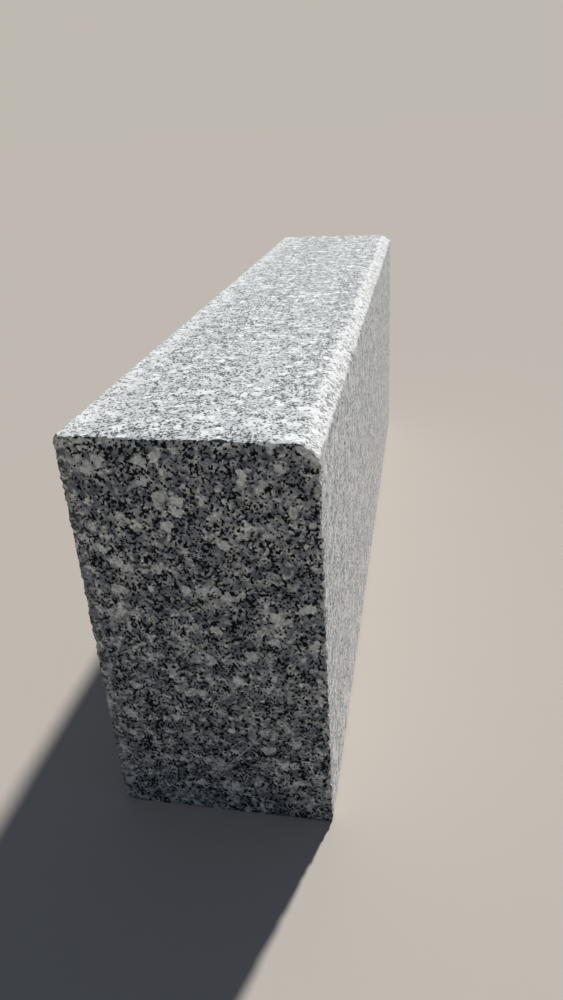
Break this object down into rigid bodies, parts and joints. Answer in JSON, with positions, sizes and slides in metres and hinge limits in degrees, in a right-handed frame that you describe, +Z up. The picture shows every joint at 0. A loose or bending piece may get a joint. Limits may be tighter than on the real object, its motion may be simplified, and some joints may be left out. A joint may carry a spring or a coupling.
{
  "type": "granite kerb stone",
  "caption": "Straight granite kerb stone with sawn ends, a top that falls towards the road and a chamfered upper road edge.",
  "frame": {"origin": "centre of the base, on the level that the stone stands on", "axes": "+X out of the chamfered road face, +Y along the stone, +Z up"},
  "size_m": [0.16, 0.8, 0.3],
  "materials": {
    "granite": "fine grey granite, sawn ends, flamed top and road face, rough back"
  },
  "bodies": {
    "root": {"kerb_stone": "granite"}
  },
  "joints": []
}
